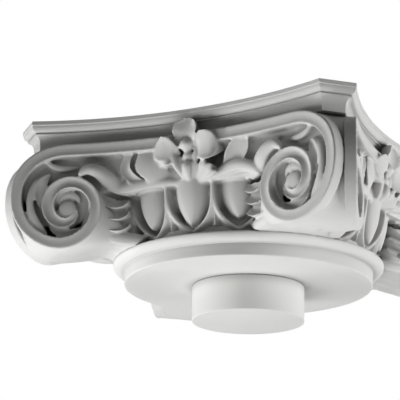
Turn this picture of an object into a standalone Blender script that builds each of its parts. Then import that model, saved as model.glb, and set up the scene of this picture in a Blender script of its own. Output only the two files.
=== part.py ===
"""Angular Ionic capital: a cast body with four corner volutes, and the turned
plug under it. Metres, +Z up, the front face looks along -Y."""
import math

import bmesh
import bpy
from mathutils import Vector

for thing in list(bpy.data.objects):
    bpy.data.objects.remove(thing, do_unlink=True)

MM = 0.001

# Heights, measured up from the underside of the plug
PLUG_HEIGHT = 38.0 * MM
NECK_BAND_TOP = 51.5 * MM
ROLL_WIDEST = 60.0 * MM
FACE_TOP = 163.0 * MM
FRIEZE_FOOT = 117.0 * MM
ABACUS_UNDERSIDE = 160.0 * MM
ABACUS_TOP = 188.5 * MM
BAND_FOOT = 149.5 * MM

# Radii of the round parts
PLUG_RADIUS = 60.0 * MM
NECK_RADIUS = 133.0 * MM
NECK_ARRIS = 1.0 * MM
ROLL_RADIUS = 145.0 * MM
BELL_FOOT_RADIUS = 132.0 * MM
BELL_RADIUS = 128.0 * MM
SEAM_GAP = 0.3 * MM
PLUG_ARRIS = 1.0 * MM

# Plan of the abacus: a square with hollow sides and cut corners
ABACUS_HALF = 190.0 * MM
HORN_CUT = 28.0 * MM
SIDE_HOLLOW = 30.0 * MM

# Abacus moulding: height below the top and how far it is set in
ABACUS_PROFILE = [
    (0.0, 0.0),
    (4.4 * MM, 0.0),
    (7.4 * MM, 1.6 * MM),
    (10.6 * MM, 5.2 * MM),
    (11.8 * MM, 4.6 * MM),
    (15.5 * MM, 8.2 * MM),
    (21.0 * MM, 10.6 * MM),
    (ABACUS_TOP - ABACUS_UNDERSIDE, 11.4 * MM),
]

# Volute: its eye on the face, and the spiral as degrees and radius
EYE_ALONG = 127.0 * MM
EYE_HEIGHT = 93.5 * MM
EYE_RADIUS = 9.5 * MM
EYE_SINK = 4.0 * MM
SPIRAL = [
    (0.0, 69.5 * MM),
    (42.0, 68.5 * MM),
    (90.0, 57.3 * MM),
    (135.0, 48.3 * MM),
    (180.0, 43.5 * MM),
    (270.0, 37.8 * MM),
    (360.0, 34.5 * MM),
    (450.0, 26.5 * MM),
    (540.0, 20.5 * MM),
    (640.0, 15.0 * MM),
]
BAND_WIDTH = 12.6 * MM
INNER_BAND_WIDTH = 9.0 * MM
BAND_DEPTH = 13.0 * MM
VOLUTE_SINK = 9.0 * MM
FRIEZE_SINK = 12.5 * MM
QUIRK = 0.8 * MM
CORNER_HOLLOW = 8.0 * MM

# Eggs round the bell and the shells that hold them
EGG_PITCH = 20.9
EGG_SEAT = 123.0 * MM
EGG_PROUD = 0.6 * MM
EGG_HALF_WIDTH = 18.0 * MM
EGG_TOP = 118.0 * MM
EGG_TIP = 70.5 * MM
SHELL_TIP = 65.5 * MM
SHELL_HALF_WIDTH = 26.2 * MM
SHELL_WALL = 3.4 * MM
SHELL_FACE = 148.5 * MM
SHELL_TIP_FACE = 134.5 * MM

# Curve of each face in plan, the same as the abacus side
HALF_CHORD = ABACUS_HALF - HORN_CUT
FACE_ARC = (HALF_CHORD ** 2 + SIDE_HOLLOW ** 2) / (2.0 * SIDE_HOLLOW)
FACE_AXIS = -(ABACUS_HALF - SIDE_HOLLOW) - FACE_ARC


def on_face(along, height, forward=0.0):
    """A point of the front face: along its curve, its height, and how far it
    stands in front of the face."""
    angle = along / FACE_ARC
    reach = FACE_ARC - forward
    return Vector((reach * math.sin(angle), FACE_AXIS + reach * math.cos(angle), height))


def on_bell(angle, side, radius, height):
    """A point near the bell: side is measured across at the given bearing."""
    turned = math.radians(angle)
    x = radius * math.sin(turned) + side * math.cos(turned)
    y = -radius * math.cos(turned) + side * math.sin(turned)
    return Vector((x, y, height))


def solid(name, rings, start=None, end=None):
    """A closed solid through rings of equally many points. A start or end
    point closes that end as a fan; without one the end ring is one face."""
    mesh = bpy.data.meshes.new(name)
    bm = bmesh.new()
    rows = [[bm.verts.new(point) for point in ring] for ring in rings]
    count = len(rings[0])
    for first, second in zip(rows, rows[1:]):
        for i in range(count):
            j = (i + 1) % count
            bm.faces.new((first[i], first[j], second[j], second[i]))
    for row, point in ((rows[0], start), (rows[-1], end)):
        if point is None:
            bm.faces.new(row)
            continue
        tip = bm.verts.new(point)
        for i in range(count):
            bm.faces.new((row[i], row[(i + 1) % count], tip))
    bmesh.ops.recalc_face_normals(bm, faces=bm.faces[:])
    bm.to_mesh(mesh)
    bm.free()
    made = bpy.data.objects.new(name, mesh)
    bpy.context.scene.collection.objects.link(made)
    return made


def circle(radius, height, count):
    turns = [2.0 * math.pi * i / count for i in range(count)]
    return [Vector((radius * math.cos(a), radius * math.sin(a), height)) for a in turns]


def blend(table, where):
    """A smooth value read from a short table of positions and values."""
    if where <= table[0][0]:
        return table[0][1]
    for k in range(len(table) - 1):
        (x0, y0), (x1, y1) = table[k], table[k + 1]
        if where > x1:
            continue
        before = table[k - 1] if k else table[k]
        after = table[k + 2] if k + 2 < len(table) else table[k + 1]
        span = x1 - x0
        lead = (y1 - before[1]) / (x1 - before[0]) * span
        trail = (after[1] - y0) / (after[0] - x0) * span
        t = (where - x0) / span
        rise = (2 * t ** 3 - 3 * t ** 2 + 1) * y0 + (3 * t ** 2 - 2 * t ** 3) * y1
        return rise + (t ** 3 - 2 * t ** 2 + t) * lead + (t ** 3 - t ** 2) * trail
    return table[-1][1]


# Core: neck disc, upright band, round roll and bell
CORE_SIDES = 40


def core():
    rings = [circle(NECK_RADIUS - NECK_ARRIS, PLUG_HEIGHT, CORE_SIDES)]
    rings.append(circle(NECK_RADIUS, PLUG_HEIGHT + NECK_ARRIS, CORE_SIDES))
    rings.append(circle(NECK_RADIUS, NECK_BAND_TOP, CORE_SIDES))
    rise = ROLL_WIDEST - NECK_BAND_TOP
    reach = ROLL_RADIUS - NECK_RADIUS
    for k in range(1, 4):
        a = math.radians(30.0 * k)
        radius = NECK_RADIUS + reach * math.sin(a)
        rings.append(circle(radius, ROLL_WIDEST - rise * math.cos(a), CORE_SIDES))
    rings.append(circle(BELL_FOOT_RADIUS, ROLL_WIDEST + 0.6 * MM, CORE_SIDES))
    rings.append(circle(BELL_RADIUS, FRIEZE_FOOT + 2.0 * MM, CORE_SIDES))
    low = Vector((0.0, 0.0, PLUG_HEIGHT))
    high = Vector((0.0, 0.0, FRIEZE_FOOT + 2.0 * MM))
    return solid("core", rings, low, high)


# Abacus
SIDE_STEPS = 8


def abacus_outline(inset, height):
    """One side as an arc between two cut corners, turned to all four sides."""
    arc = FACE_ARC + inset
    corner_sum = 2.0 * ABACUS_HALF - HORN_CUT - inset * math.sqrt(2.0)
    low, high = 0.0, ABACUS_HALF
    for _ in range(40):
        middle = 0.5 * (low + high)
        y = -(FACE_AXIS + math.sqrt(arc ** 2 - middle ** 2))
        if middle + y > corner_sum:
            high = middle
        else:
            low = middle
    reach = math.asin(low / arc)
    points = []
    for side in range(4):
        turn = math.radians(90.0 * side)
        for k in range(SIDE_STEPS + 1):
            a = reach * (2.0 * k / SIDE_STEPS - 1.0)
            x = arc * math.sin(a)
            y = FACE_AXIS + arc * math.cos(a)
            across = x * math.cos(turn) - y * math.sin(turn)
            back = x * math.sin(turn) + y * math.cos(turn)
            points.append(Vector((across, back, height)))
    return points


def abacus():
    rings = [abacus_outline(inset, ABACUS_TOP - drop) for drop, inset in ABACUS_PROFILE]
    high = Vector((0.0, 0.0, ABACUS_TOP))
    low = Vector((0.0, 0.0, ABACUS_UNDERSIDE))
    return solid("abacus", rings, high, low)


# Corner body: runs from the volute of one face to that of the next
BODY_STEPS = 4
TURN_STEP = 26.0
BODY_TURNS = 11


def on_floor(turn, radius):
    """A point of the flat ground sunk inside a volute."""
    a = math.radians(turn)
    left = on_face(EYE_ALONG - SPIRAL[5][1], 0.0, -VOLUTE_SINK)
    right = on_face(EYE_ALONG + SPIRAL[2][1], 0.0, -VOLUTE_SINK)
    share = (SPIRAL[5][1] + radius * math.sin(a)) / (SPIRAL[5][1] + SPIRAL[2][1])
    point = left.lerp(right, share)
    point.z = EYE_HEIGHT + radius * math.cos(a)
    return point


def across_corner(point):
    """The matching point of the neighbouring face."""
    return Vector((-point.y, -point.x, point.z))


def corner_body():
    contour = []
    for k in range(BODY_TURNS + 1):
        turn = TURN_STEP * k
        contour.append((on_floor(turn, blend(SPIRAL, turn) - QUIRK), turn))
    contour.append((on_floor(302.0, 50.0 * MM), 330))
    contour.append((on_floor(330.0, 76.0 * MM), 350))
    hollow = [(0, 0.0), (18, 0.4), (40, 1.0), (110, 1.0), (150, 0.35), (190, 0.0)]
    skirt = [(190, 0.0), (236, 0.6), (290, 1.0)]
    outward = Vector((math.sqrt(0.5), -math.sqrt(0.5), 0.0))
    rings = []
    for step in range(BODY_STEPS + 1):
        t = step / BODY_STEPS
        swell = 4.0 * t * (1.0 - t)
        ring = []
        for edge, turn in contour:
            far = across_corner(edge)
            point = edge.lerp(far, t)
            if turn <= 190:
                point -= outward * CORNER_HOLLOW * blend(hollow, turn) * swell
            else:
                seat = outward * (BELL_RADIUS + 8.0 * MM)
                seat.z = ROLL_WIDEST + 1.5 * MM
                if turn > 290:
                    seat = outward * (BELL_RADIUS - 14.0 * MM)
                    seat.z = edge.z
                middle = edge.lerp(far, 0.5)
                point += (seat - middle) * blend(skirt, turn) * swell
            ring.append(point)
        rings.append(ring)
    return solid("corner_body", rings)


# Band: one strip winds out of a volute, along the face top, into the next
BAND_TURNS = 21


def band_strip():
    outer_path = []
    for k in range(BAND_TURNS, 0, -1):
        turn = TURN_STEP * k
        radius = blend(SPIRAL, turn)
        inner_share = max(0.0, (turn - 450.0) / 190.0)
        width = BAND_WIDTH + (INNER_BAND_WIDTH - BAND_WIDTH) * inner_share
        sink = -1.5 * MM * min(1.0, max(0.0, (turn - 270.0) / 180.0))
        outer_path.append((turn, radius, width, sink))
    outer_path.append((0.0, SPIRAL[0][1], FACE_TOP - BAND_FOOT, 0.0))

    def ring(along_out, high_out, along_in, high_in, sink):
        return [
            on_face(along_out, high_out, sink),
            on_face(along_in, high_in, sink),
            on_face(along_in, high_in, sink - BAND_DEPTH),
            on_face(along_out, high_out, sink - BAND_DEPTH),
        ]

    half = []
    for turn, radius, width, sink in outer_path:
        a = math.radians(turn)
        inner = radius - width
        half.append(
            ring(
                EYE_ALONG + radius * math.sin(a),
                EYE_HEIGHT + radius * math.cos(a),
                EYE_ALONG + inner * math.sin(a),
                EYE_HEIGHT + inner * math.cos(a),
                sink,
            )
        )
    rings = half[:]
    for k in (2, 1, 0, -1, -2):
        along = EYE_ALONG * k / 3.0
        rings.append(ring(along, FACE_TOP, along, BAND_FOOT, 0.0))
    for row in reversed(half):
        rings.append([Vector((-p.x, p.y, p.z)) for p in row])
    return solid("band", rings)


def eye_button(side):
    rings = []
    for forward, share in ((-BAND_DEPTH, 1.0), (-EYE_SINK, 1.0), (-EYE_SINK + 2.0 * MM, 0.6)):
        ring = []
        for k in range(8):
            a = 2.0 * math.pi * k / 8
            along = EYE_ALONG + EYE_RADIUS * share * math.sin(a)
            ring.append(on_face(side * along, EYE_HEIGHT + EYE_RADIUS * share * math.cos(a), forward))
        rings.append(ring)
    return solid("eye", rings)


# Frieze: the sunk ground between the band and the eggs, on all four sides
def frieze():
    foot = FRIEZE_FOOT
    top = ABACUS_UNDERSIDE + 4.0 * MM
    rings = [abacus_outline(FRIEZE_SINK, height) for height in (foot, top)]
    return solid("frieze", rings, Vector((0.0, 0.0, foot)), Vector((0.0, 0.0, top)))


# Egg: upright sections of half an ellipse, drawn in to a point below
EGG_SHARE = [(0.0, 0.06), (0.12, 0.39), (0.3, 0.68), (0.6, 0.94), (1.0, 1.0)]


def echinus(height):
    """How far the shells stand out at a height: the row leans in below."""
    share = (height - SHELL_TIP) / (EGG_TOP - SHELL_TIP)
    return SHELL_FACE - (SHELL_FACE - SHELL_TIP_FACE) * (1.0 - share) ** 2


def egg(angle):
    rings = []
    for share in (1.0, 0.5, 0.2, 0.0):
        height = EGG_TIP + (EGG_TOP - EGG_TIP) * share
        size = blend(EGG_SHARE, share)
        relief = echinus(height) + EGG_PROUD - EGG_SEAT
        ring = []
        for k in range(5):
            a = math.pi * k / 4
            side = EGG_HALF_WIDTH * size * math.cos(a)
            ring.append(on_bell(angle, side, EGG_SEAT + relief * math.sin(a), height))
        rings.append(ring)
    return solid("egg", rings)


SHELL_SHARE = [(0.0, 0.0), (0.1, 0.36), (0.25, 0.68), (0.45, 0.9), (0.7, 1.0), (1.0, 1.0)]


def shell(angle):
    """A pointed rim round the egg, from its top at one side to the other, with
    flanks that slope to a ridge."""
    shares = (1.0, 0.5, 0.2)
    path = [(share, 1.0) for share in shares] + [(0.0, 0.0)]
    path += [(share, -1.0) for share in reversed(shares)]
    rings = []
    for share, side in path:
        height = SHELL_TIP + (EGG_TOP - SHELL_TIP) * share
        wide = SHELL_HALF_WIDTH * blend(SHELL_SHARE, share)
        face = echinus(height)
        if side == 0.0:
            outer = (0.0, height)
            inner = (0.0, height + SHELL_WALL * 1.4)
        else:
            lift = SHELL_WALL * (1.0 - share) * 0.8
            outer = (side * wide, height)
            inner = (side * (wide - SHELL_WALL), height + lift)
        seat = EGG_SEAT - 1.0 * MM
        ridge = (0.5 * (outer[0] + inner[0]), 0.5 * (outer[1] + inner[1]))
        rings.append(
            [
                on_bell(angle, ridge[0], face, ridge[1]),
                on_bell(angle, inner[0], seat, inner[1]),
                on_bell(angle, outer[0], seat, outer[1]),
            ]
        )
    return solid("shell", rings)


# Leaf: sections along a line on the face; a hollow leaf sinks at its middle
def leaf(path, thick, crown):
    """Path entries: along, height, forward and half width, in millimetres."""
    rings = []
    for i, (along, height, forward, half) in enumerate(path):
        before = path[max(0, i - 1)]
        after = path[min(len(path) - 1, i + 1)]
        run = Vector((after[0] - before[0], after[1] - before[1])).normalized()
        side = Vector((-run.y, run.x))
        ring = []
        for share, lift in ((1.0, 0.0), (0.0, crown), (-1.0, 0.0), (0.0, -thick)):
            a = along + side.x * half * share
            h = height + side.y * half * share
            ring.append(on_face(a * MM, h * MM, (forward + lift) * MM))
        rings.append(ring)
    return solid("leaf", rings)


# Flower at the middle of each face: three petals and the pistil
FLOWER = [
    ([(3, 146, -8, 6), (4, 162, 1, 14), (6, 177, 4, 6)], 10, 3.0),
    ([(-9, 144, -9, 5), (-22, 149, 1, 12), (-34, 153, 2, 3)], 10, 3.0),
    ([(13, 142, -9, 5), (28, 145, 1, 15), (44, 145, 3, 4)], 10, 3.0),
    ([(-1, 114, -14, 7), (1, 132, -6, 11), (3, 150, -2, 6)], 10, 3.0),
]

# Leaves beside the flower, one for each hand
BESIDE = [
    ([(20, 120, -12, 5), (46, 136, -6, 14), (68, 150, -8, 4)], 10, 3.0),
    ([(4, 115, -20, 5), (42, 117, -13, 8), (80, 112, -15, 4)], 14, 3.0),
    ([(74, 112, -20, 6), (90, 130, -5, 12), (112, 132, -4, 5)], 14, 4.0),
]

# Husk of three lobes between the eggs and the volute
HUSK_LOBES = 3
HUSK_TOP = 108.0 * MM
HUSK_FOOT = 66.0 * MM


def husk(side):
    """Three lobes, one over the other, that hang between egg and volute."""
    rings = []
    for k in range(2 * HUSK_LOBES + 1):
        share = k / (2.0 * HUSK_LOBES)
        height = HUSK_TOP + (HUSK_FOOT - HUSK_TOP) * share
        crest = k % 2
        sink = (4.0 * share + (0.0 if crest else 6.0)) * MM
        inner = (63.0 - 3.0 * share - 2.0 * crest) * MM
        middle = (76.0 - 3.0 * share) * MM
        outer = 93.0 * MM
        droop = 5.0 * MM if crest else 3.0 * MM
        rings.append(
            [
                on_face(side * inner, height + droop, -29.0 * MM - sink),
                on_face(side * middle, height - droop, -13.0 * MM - sink),
                on_face(side * outer, height, -13.0 * MM),
                on_face(side * middle, height, -50.0 * MM),
            ]
        )
    return solid("leaf", rings)


# The leaf sunk inside the volute
VOLUTE_LEAVES = [
    ([(146, 134, -9, 2), (165, 106, -4, 5), (156, 76, -8, 2)], 8, 2.0),
]


def mirrored(path):
    return [(-along, height, forward, half) for along, height, forward, half in path]


def face_pieces():
    """Everything that repeats on each of the four faces, as on the front."""
    made = [band_strip()]
    made += [eye_button(side) for side in (-1, 1)]
    for k in (-1, 0, 1):
        made.append(egg(EGG_PITCH * k))
        made.append(shell(EGG_PITCH * k))
    for path, thick, crown in FLOWER:
        made.append(leaf(path, thick, crown))
    made += [husk(side) for side in (-1, 1)]
    for path, thick, crown in BESIDE + VOLUTE_LEAVES:
        made.append(leaf(path, thick, crown))
        made.append(leaf(mirrored(path), thick, crown))
    made.append(corner_body())
    return made


def turned_copies(pieces):
    copies = []
    for piece in pieces:
        for quarter in (1, 2, 3):
            copy = bpy.data.objects.new(piece.name, piece.data)
            copy.rotation_euler[2] = math.radians(90.0 * quarter)
            bpy.context.scene.collection.objects.link(copy)
            copies.append(copy)
    return copies


def plain_material(name, colour, roughness):
    material = bpy.data.materials.new(name)
    material.use_nodes = True
    shader = material.node_tree.nodes["Principled BSDF"]
    shader.inputs["Base Color"].default_value = colour
    shader.inputs["Roughness"].default_value = roughness
    return material


def join_all(base, others):
    """One Boolean joins the base with every other solid, then they go."""
    group = bpy.data.collections.new("joined")
    bpy.context.scene.collection.children.link(group)
    for piece in others:
        bpy.context.scene.collection.objects.unlink(piece)
        group.objects.link(piece)
    join = base.modifiers.new("join", "BOOLEAN")
    join.operation = "UNION"
    join.solver = "EXACT"
    join.operand_type = "COLLECTION"
    join.collection = group
    join.use_self = True
    bpy.context.view_layer.update()
    graph = bpy.context.evaluated_depsgraph_get()
    mesh = bpy.data.meshes.new_from_object(base.evaluated_get(graph))
    base.modifiers.clear()
    base.data = mesh
    for piece in others:
        bpy.data.objects.remove(piece, do_unlink=True)
    bpy.data.collections.remove(group)
    bm = bmesh.new()
    bm.from_mesh(mesh)
    bmesh.ops.dissolve_limit(
        bm,
        angle_limit=math.radians(5.0),
        verts=bm.verts[:],
        edges=bm.edges[:],
    )
    bmesh.ops.triangulate(bm, faces=bm.faces[:])
    bm.to_mesh(mesh)
    bm.free()


capital = core()
once = face_pieces()
join_all(capital, [abacus(), frieze()] + once + turned_copies(once))
capital.name = "capital"
capital.data.name = "capital"
capital.data.materials.clear()
capital.data.materials.append(plain_material("cast_plaster", (0.72, 0.72, 0.71, 1.0), 0.75))

# Plug: a turned drum with eased arrises, just under the neck disc
PLUG_SIDES = 40
plug_rings = [
    circle(PLUG_RADIUS - PLUG_ARRIS, 0.0, PLUG_SIDES),
    circle(PLUG_RADIUS, PLUG_ARRIS, PLUG_SIDES),
    circle(PLUG_RADIUS, PLUG_HEIGHT - SEAM_GAP, PLUG_SIDES),
]
plug = solid("plug", plug_rings)
plug.data.materials.append(plain_material("plug_plaster", (0.70, 0.70, 0.69, 1.0), 0.8))

for node in (capital, plug):
    node.data.shade_smooth()
    node.data.set_sharp_from_angle(angle=math.radians(30.0))
    print(node.name, len(node.data.vertices), "vertices", len(node.data.polygons), "faces")
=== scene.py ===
# %% [markdown]
# # A cast plaster capital with corner volutes
#
# A capital is the head of a column. This one has a square abacus with hollow sides, a volute on both
# sides of every corner, a row of eggs round the bell and a flower in the middle of each face. The
# solids give its true form with plain facets; here every face gets its carving, and the plaster gets
# its finish. The lesson goes from the turned parts to the moulded ones, and from there to the leaves.

import math

import bmesh
import bpy
import numpy as np
from mathutils import Matrix, Vector


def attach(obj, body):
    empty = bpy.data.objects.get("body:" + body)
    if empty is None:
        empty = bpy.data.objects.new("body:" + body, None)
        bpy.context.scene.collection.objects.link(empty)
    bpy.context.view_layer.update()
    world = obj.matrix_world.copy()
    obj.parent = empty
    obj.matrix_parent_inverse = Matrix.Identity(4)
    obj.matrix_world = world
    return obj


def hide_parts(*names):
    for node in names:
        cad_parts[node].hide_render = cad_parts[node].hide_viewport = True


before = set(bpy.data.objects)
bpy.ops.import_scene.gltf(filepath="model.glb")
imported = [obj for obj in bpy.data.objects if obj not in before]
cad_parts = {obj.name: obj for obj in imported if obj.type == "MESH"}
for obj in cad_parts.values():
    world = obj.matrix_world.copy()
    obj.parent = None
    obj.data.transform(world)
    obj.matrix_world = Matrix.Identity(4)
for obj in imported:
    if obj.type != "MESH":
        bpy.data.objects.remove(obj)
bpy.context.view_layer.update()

# %% [markdown]
# The modeller works in millimetres. A face of the capital isn't flat: it follows the hollow side of the
# abacus, an arc whose axis stands in front of the face. So each point of the carving is given as a
# distance along the face, a height, and how far it stands in front. The eggs sit on the round bell and
# are given by their bearing.

# %% Places on the face and on the bell
MM = 0.001
ABACUS_HALF = 190.0
HORN_CUT = 28.0
SIDE_HOLLOW = 30.0
HALF_CHORD = ABACUS_HALF - HORN_CUT
FACE_ARC = (HALF_CHORD**2 + SIDE_HOLLOW**2) / (2.0 * SIDE_HOLLOW)
FACE_AXIS = -(ABACUS_HALF - SIDE_HOLLOW) - FACE_ARC


def on_face(along, height, forward):
    """Points of the front face, in millimetres, from arrays of the three measures."""
    angle = np.asarray(along) / FACE_ARC
    reach = FACE_ARC - np.asarray(forward)
    x = reach * np.sin(angle)
    y = FACE_AXIS + reach * np.cos(angle)
    return np.stack(np.broadcast_arrays(x, y, height), axis=-1)


def on_bell(bearing, side, radius, height):
    """Points near the bell: side is measured across at the bearing in degrees."""
    turn = math.radians(bearing)
    x = radius * math.sin(turn) + side * math.cos(turn)
    y = -radius * math.cos(turn) + side * math.sin(turn)
    return np.stack(np.broadcast_arrays(x, y, height), axis=-1)


def quarter_turned(points, quarters):
    """The same points a number of quarter turns round the column's axis."""
    a = math.radians(90.0 * quarters)
    turned = np.array(points, float)
    turned[..., 0] = points[..., 0] * math.cos(a) - points[..., 1] * math.sin(a)
    turned[..., 1] = points[..., 0] * math.sin(a) + points[..., 1] * math.cos(a)
    return turned


print("face arc radius", round(FACE_ARC, 1), "mm, its axis at", round(FACE_AXIS, 1))

# %% [markdown]
# All of the forms are skins over rows of points. A turned part is a profile spun round the axis, an
# abacus is an outline repeated down its moulding, and a leaf is a row of cross-sections. One function
# turns such rows into a mesh, and another draws a smooth line through a few measured places, as a
# modeller does with a bent lath.


# %% Skins and smooth lines
def skin(rows, capped=True):
    """Corners and faces over rows of equally many points, each row closed on itself."""
    rows = np.asarray(rows, float)
    count, around = rows.shape[:2]
    index = np.arange(count * around).reshape(count, around)
    after = np.roll(index, -1, axis=1)
    faces = np.stack([index[:-1], after[:-1], after[1:], index[1:]], axis=-1).reshape(-1, 4).tolist()
    if capped:
        faces.append(index[0][::-1].tolist())
        faces.append(index[-1].tolist())
    return rows.reshape(-1, 3), faces


def gather(skins):
    """Several skins as one list of corners and faces."""
    corners, faces, base = [], [], 0
    for points, polygons in skins:
        corners.append(points)
        faces += [[base + i for i in polygon] for polygon in polygons]
        base += len(points)
    return np.concatenate(corners), faces


def new_piece(name, corners, faces):
    """A new object in metres from corners in millimetres."""
    mesh = bpy.data.meshes.new(name)
    mesh.from_pydata((np.asarray(corners) * MM).tolist(), [], faces)
    mesh.update()
    piece = bpy.data.objects.new(name, mesh)
    bpy.context.scene.collection.objects.link(piece)
    return piece


def through(knots, rows, where):
    """Values on a smooth line through rows that stand at the given knots."""
    knots, rows, where = np.asarray(knots, float), np.asarray(rows, float), np.asarray(where, float)
    flat = rows.ndim == 1
    rows = rows[:, None] if flat else rows
    slope = np.gradient(rows, knots, axis=0)
    i = np.clip(np.searchsorted(knots, where, side="right") - 1, 0, len(knots) - 2)
    span = (knots[i + 1] - knots[i])[:, None]
    t = np.clip((where - knots[i])[:, None] / span, 0.0, 1.0)
    value = (2 * t**3 - 3 * t**2 + 1) * rows[i] + (3 * t**2 - 2 * t**3) * rows[i + 1]
    value += (t**3 - 2 * t**2 + t) * span * slope[i] + (t**3 - t**2) * span * slope[i + 1]
    return value[:, 0] if flat else value


def outward(piece):
    """Turns every face of a closed piece to the outside."""
    bm = bmesh.new()
    bm.from_mesh(piece.data)
    bmesh.ops.recalc_face_normals(bm, faces=bm.faces[:])
    bm.to_mesh(piece.data)
    bm.free()


# %% [markdown]
# The neck moulding and the plug are turned work: a zinc template is dragged round a post while the
# plaster sets, so every section is a true circle. The neck has a flat underside, an upright band and a
# round roll that swells out under the eggs. The plug is a plain drum that centres the capital in the
# shaft.

# %% Neck and plug
PLUG_HEIGHT = 38.0
NECK_RADIUS = 133.0
NECK_BAND_TOP = 51.5
ROLL_RADIUS = 145.0
ROLL_WIDEST = 59.2
BELL_FOOT_RADIUS = 132.0
BELL_FOOT_TOP = 70.0
BELL_RADIUS = 128.0
PLUG_RADIUS = 60.0
SEAM_GAP = 0.3
NECK_EASE = 1.6
PLUG_FOOT_EASE = 1.2
PLUG_TOP_EASE = 0.9
TURNED_STEPS = 288
PLUG_STEPS = 160


def turned(profile, steps=TURNED_STEPS):
    """A profile of radius and height, spun round the column's axis."""
    profile = np.asarray(profile, float)
    a = np.linspace(0.0, 2.0 * math.pi, steps, endpoint=False)
    rows = np.empty((len(profile), steps, 3))
    rows[..., 0] = profile[:, :1] * np.cos(a)
    rows[..., 1] = profile[:, :1] * np.sin(a)
    rows[..., 2] = profile[:, 1:]
    return rows


def eased(radius, height, ease, start, stop, steps=6):
    """A small rounded arris: an arc of that radius between two bearings."""
    a = np.radians(np.linspace(start, stop, steps))
    return [(radius + ease * math.cos(t), height + ease * math.sin(t)) for t in a]


neck_profile = [(2.0, PLUG_HEIGHT), (40.0, PLUG_HEIGHT), (70.0, PLUG_HEIGHT), (100.0, PLUG_HEIGHT)]
neck_profile += [(120.0, PLUG_HEIGHT)]
neck_profile += eased(NECK_RADIUS - NECK_EASE, PLUG_HEIGHT + NECK_EASE, NECK_EASE, -90.0, 0.0)
neck_profile += [(NECK_RADIUS, h) for h in (43.0, 46.0, 49.0, NECK_BAND_TOP - 0.4)]
for bearing in np.linspace(4.0, 90.0, 22):
    t = math.radians(bearing)
    out = NECK_RADIUS + (ROLL_RADIUS - NECK_RADIUS) * math.sin(t)
    neck_profile.append((out, ROLL_WIDEST - (ROLL_WIDEST - NECK_BAND_TOP) * math.cos(t)))
neck_profile += eased(ROLL_RADIUS - NECK_EASE, ROLL_WIDEST + 0.1, NECK_EASE, 12.0, 90.0)
neck_profile += [(BELL_FOOT_RADIUS + 3.0, ROLL_WIDEST + 1.8), (BELL_FOOT_RADIUS + 0.6, ROLL_WIDEST + 2.2)]
neck_profile += [(BELL_FOOT_RADIUS, h) for h in (ROLL_WIDEST + 3.0, 64.0, 66.0, 68.0, BELL_FOOT_TOP - 0.5)]
neck_profile += [(BELL_FOOT_RADIUS - 0.6, BELL_FOOT_TOP)]
neck_profile += [(BELL_RADIUS - 1.0, BELL_FOOT_TOP + 0.2), (BELL_RADIUS - 1.0, 80.0)]

corners, faces = skin(turned(neck_profile), capped=False)
neck_moulding = new_piece("neck_moulding", corners, faces)

plug_profile = [(1.0, 0.0), (30.0, 0.0), (50.0, 0.0)]
plug_profile += eased(PLUG_RADIUS - PLUG_FOOT_EASE, PLUG_FOOT_EASE, PLUG_FOOT_EASE, -90.0, 0.0)
plug_profile += [(PLUG_RADIUS, h) for h in (8.0, 16.0, 24.0, 31.0)]
plug_top = PLUG_HEIGHT - SEAM_GAP
plug_profile += eased(PLUG_RADIUS - PLUG_TOP_EASE, plug_top - PLUG_TOP_EASE, PLUG_TOP_EASE, 0.0, 90.0)
plug_profile += [(50.0, plug_top), (1.0, plug_top)]
corners, faces = skin(turned(plug_profile, PLUG_STEPS), capped=True)
plaster_plug = new_piece("plaster_plug", corners, faces)
print("neck and plug:", len(neck_moulding.data.vertices) + len(plaster_plug.data.vertices), "corners")

# %% [markdown]
# The abacus is run with a template too, along a hollow side instead of round a post: a narrow upright
# fascia, a quarter round under it, a thin fillet, and a long hollow that dives behind the face band.
# The four cut corners, the horns, carry the same moulding, mitred where the runs meet.

# %% Abacus
ABACUS_TOP = 188.5
ABACUS_UNDERSIDE = 160.0
SIDE_STEPS = 72
HORN_STEPS = 10
CAP_SHARES = (0.8, 0.5, 0.2, 0.01)


def abacus_outline(inset, height):
    """The abacus in plan: four arcs between cut corners, set in by some millimetres."""
    arc = FACE_ARC + inset
    corner_sum = 2.0 * ABACUS_HALF - HORN_CUT - inset * math.sqrt(2.0)
    low, high = 0.0, ABACUS_HALF
    # Halving the span finds where the hollow side meets the cut corner
    for _ in range(50):
        halfway = 0.5 * (low + high)
        if halfway - FACE_AXIS - math.sqrt(arc**2 - halfway**2) > corner_sum:
            high = halfway
        else:
            low = halfway
    reach = math.asin(low / arc)
    a = np.linspace(-reach, reach, SIDE_STEPS + 1)
    side = np.stack([arc * np.sin(a), FACE_AXIS + arc * np.cos(a), np.full(len(a), height)], axis=-1)
    horn = np.linspace(0.0, 1.0, HORN_STEPS)[1:-1, None]
    rows = []
    for quarter in range(4):
        rows.append(quarter_turned(side, quarter))
        start, end = rows[-1][-1], quarter_turned(side, quarter + 1)[0]
        rows.append(start + (end - start) * horn)
    return np.concatenate(rows)


# Each step gives the drop from the top and how far the outline is set in
abacus_profile = [(0.0, 20.0), (0.0, 3.0), (0.0, 0.7), (0.12, 0.28), (0.5, 0.0)]
abacus_profile += [(2.2, 0.0), (4.0, 0.0), (4.4, 0.25), (4.6, 0.7)]
for bearing in np.linspace(0.0, 90.0, 12):
    t = math.radians(bearing)
    abacus_profile.append((4.8 + 6.3 * math.sin(t), 0.8 + 4.8 * (1.0 - math.cos(t))))
abacus_profile += [(11.4, 5.75), (11.7, 5.6), (12.0, 5.2), (12.4, 5.0), (13.2, 5.0)]
for bearing in np.linspace(5.0, 80.0, 14):
    t = math.radians(bearing)
    abacus_profile.append((13.3 + 9.5 * (1.0 - math.cos(t)), 5.0 + 6.1 * math.sin(t)))
abacus_profile += [(25.0, 11.3), (ABACUS_TOP - ABACUS_UNDERSIDE, 11.4), (ABACUS_TOP - ABACUS_UNDERSIDE, 40.0)]

rows = [abacus_outline(inset, ABACUS_TOP - drop) for drop, inset in abacus_profile]
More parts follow.
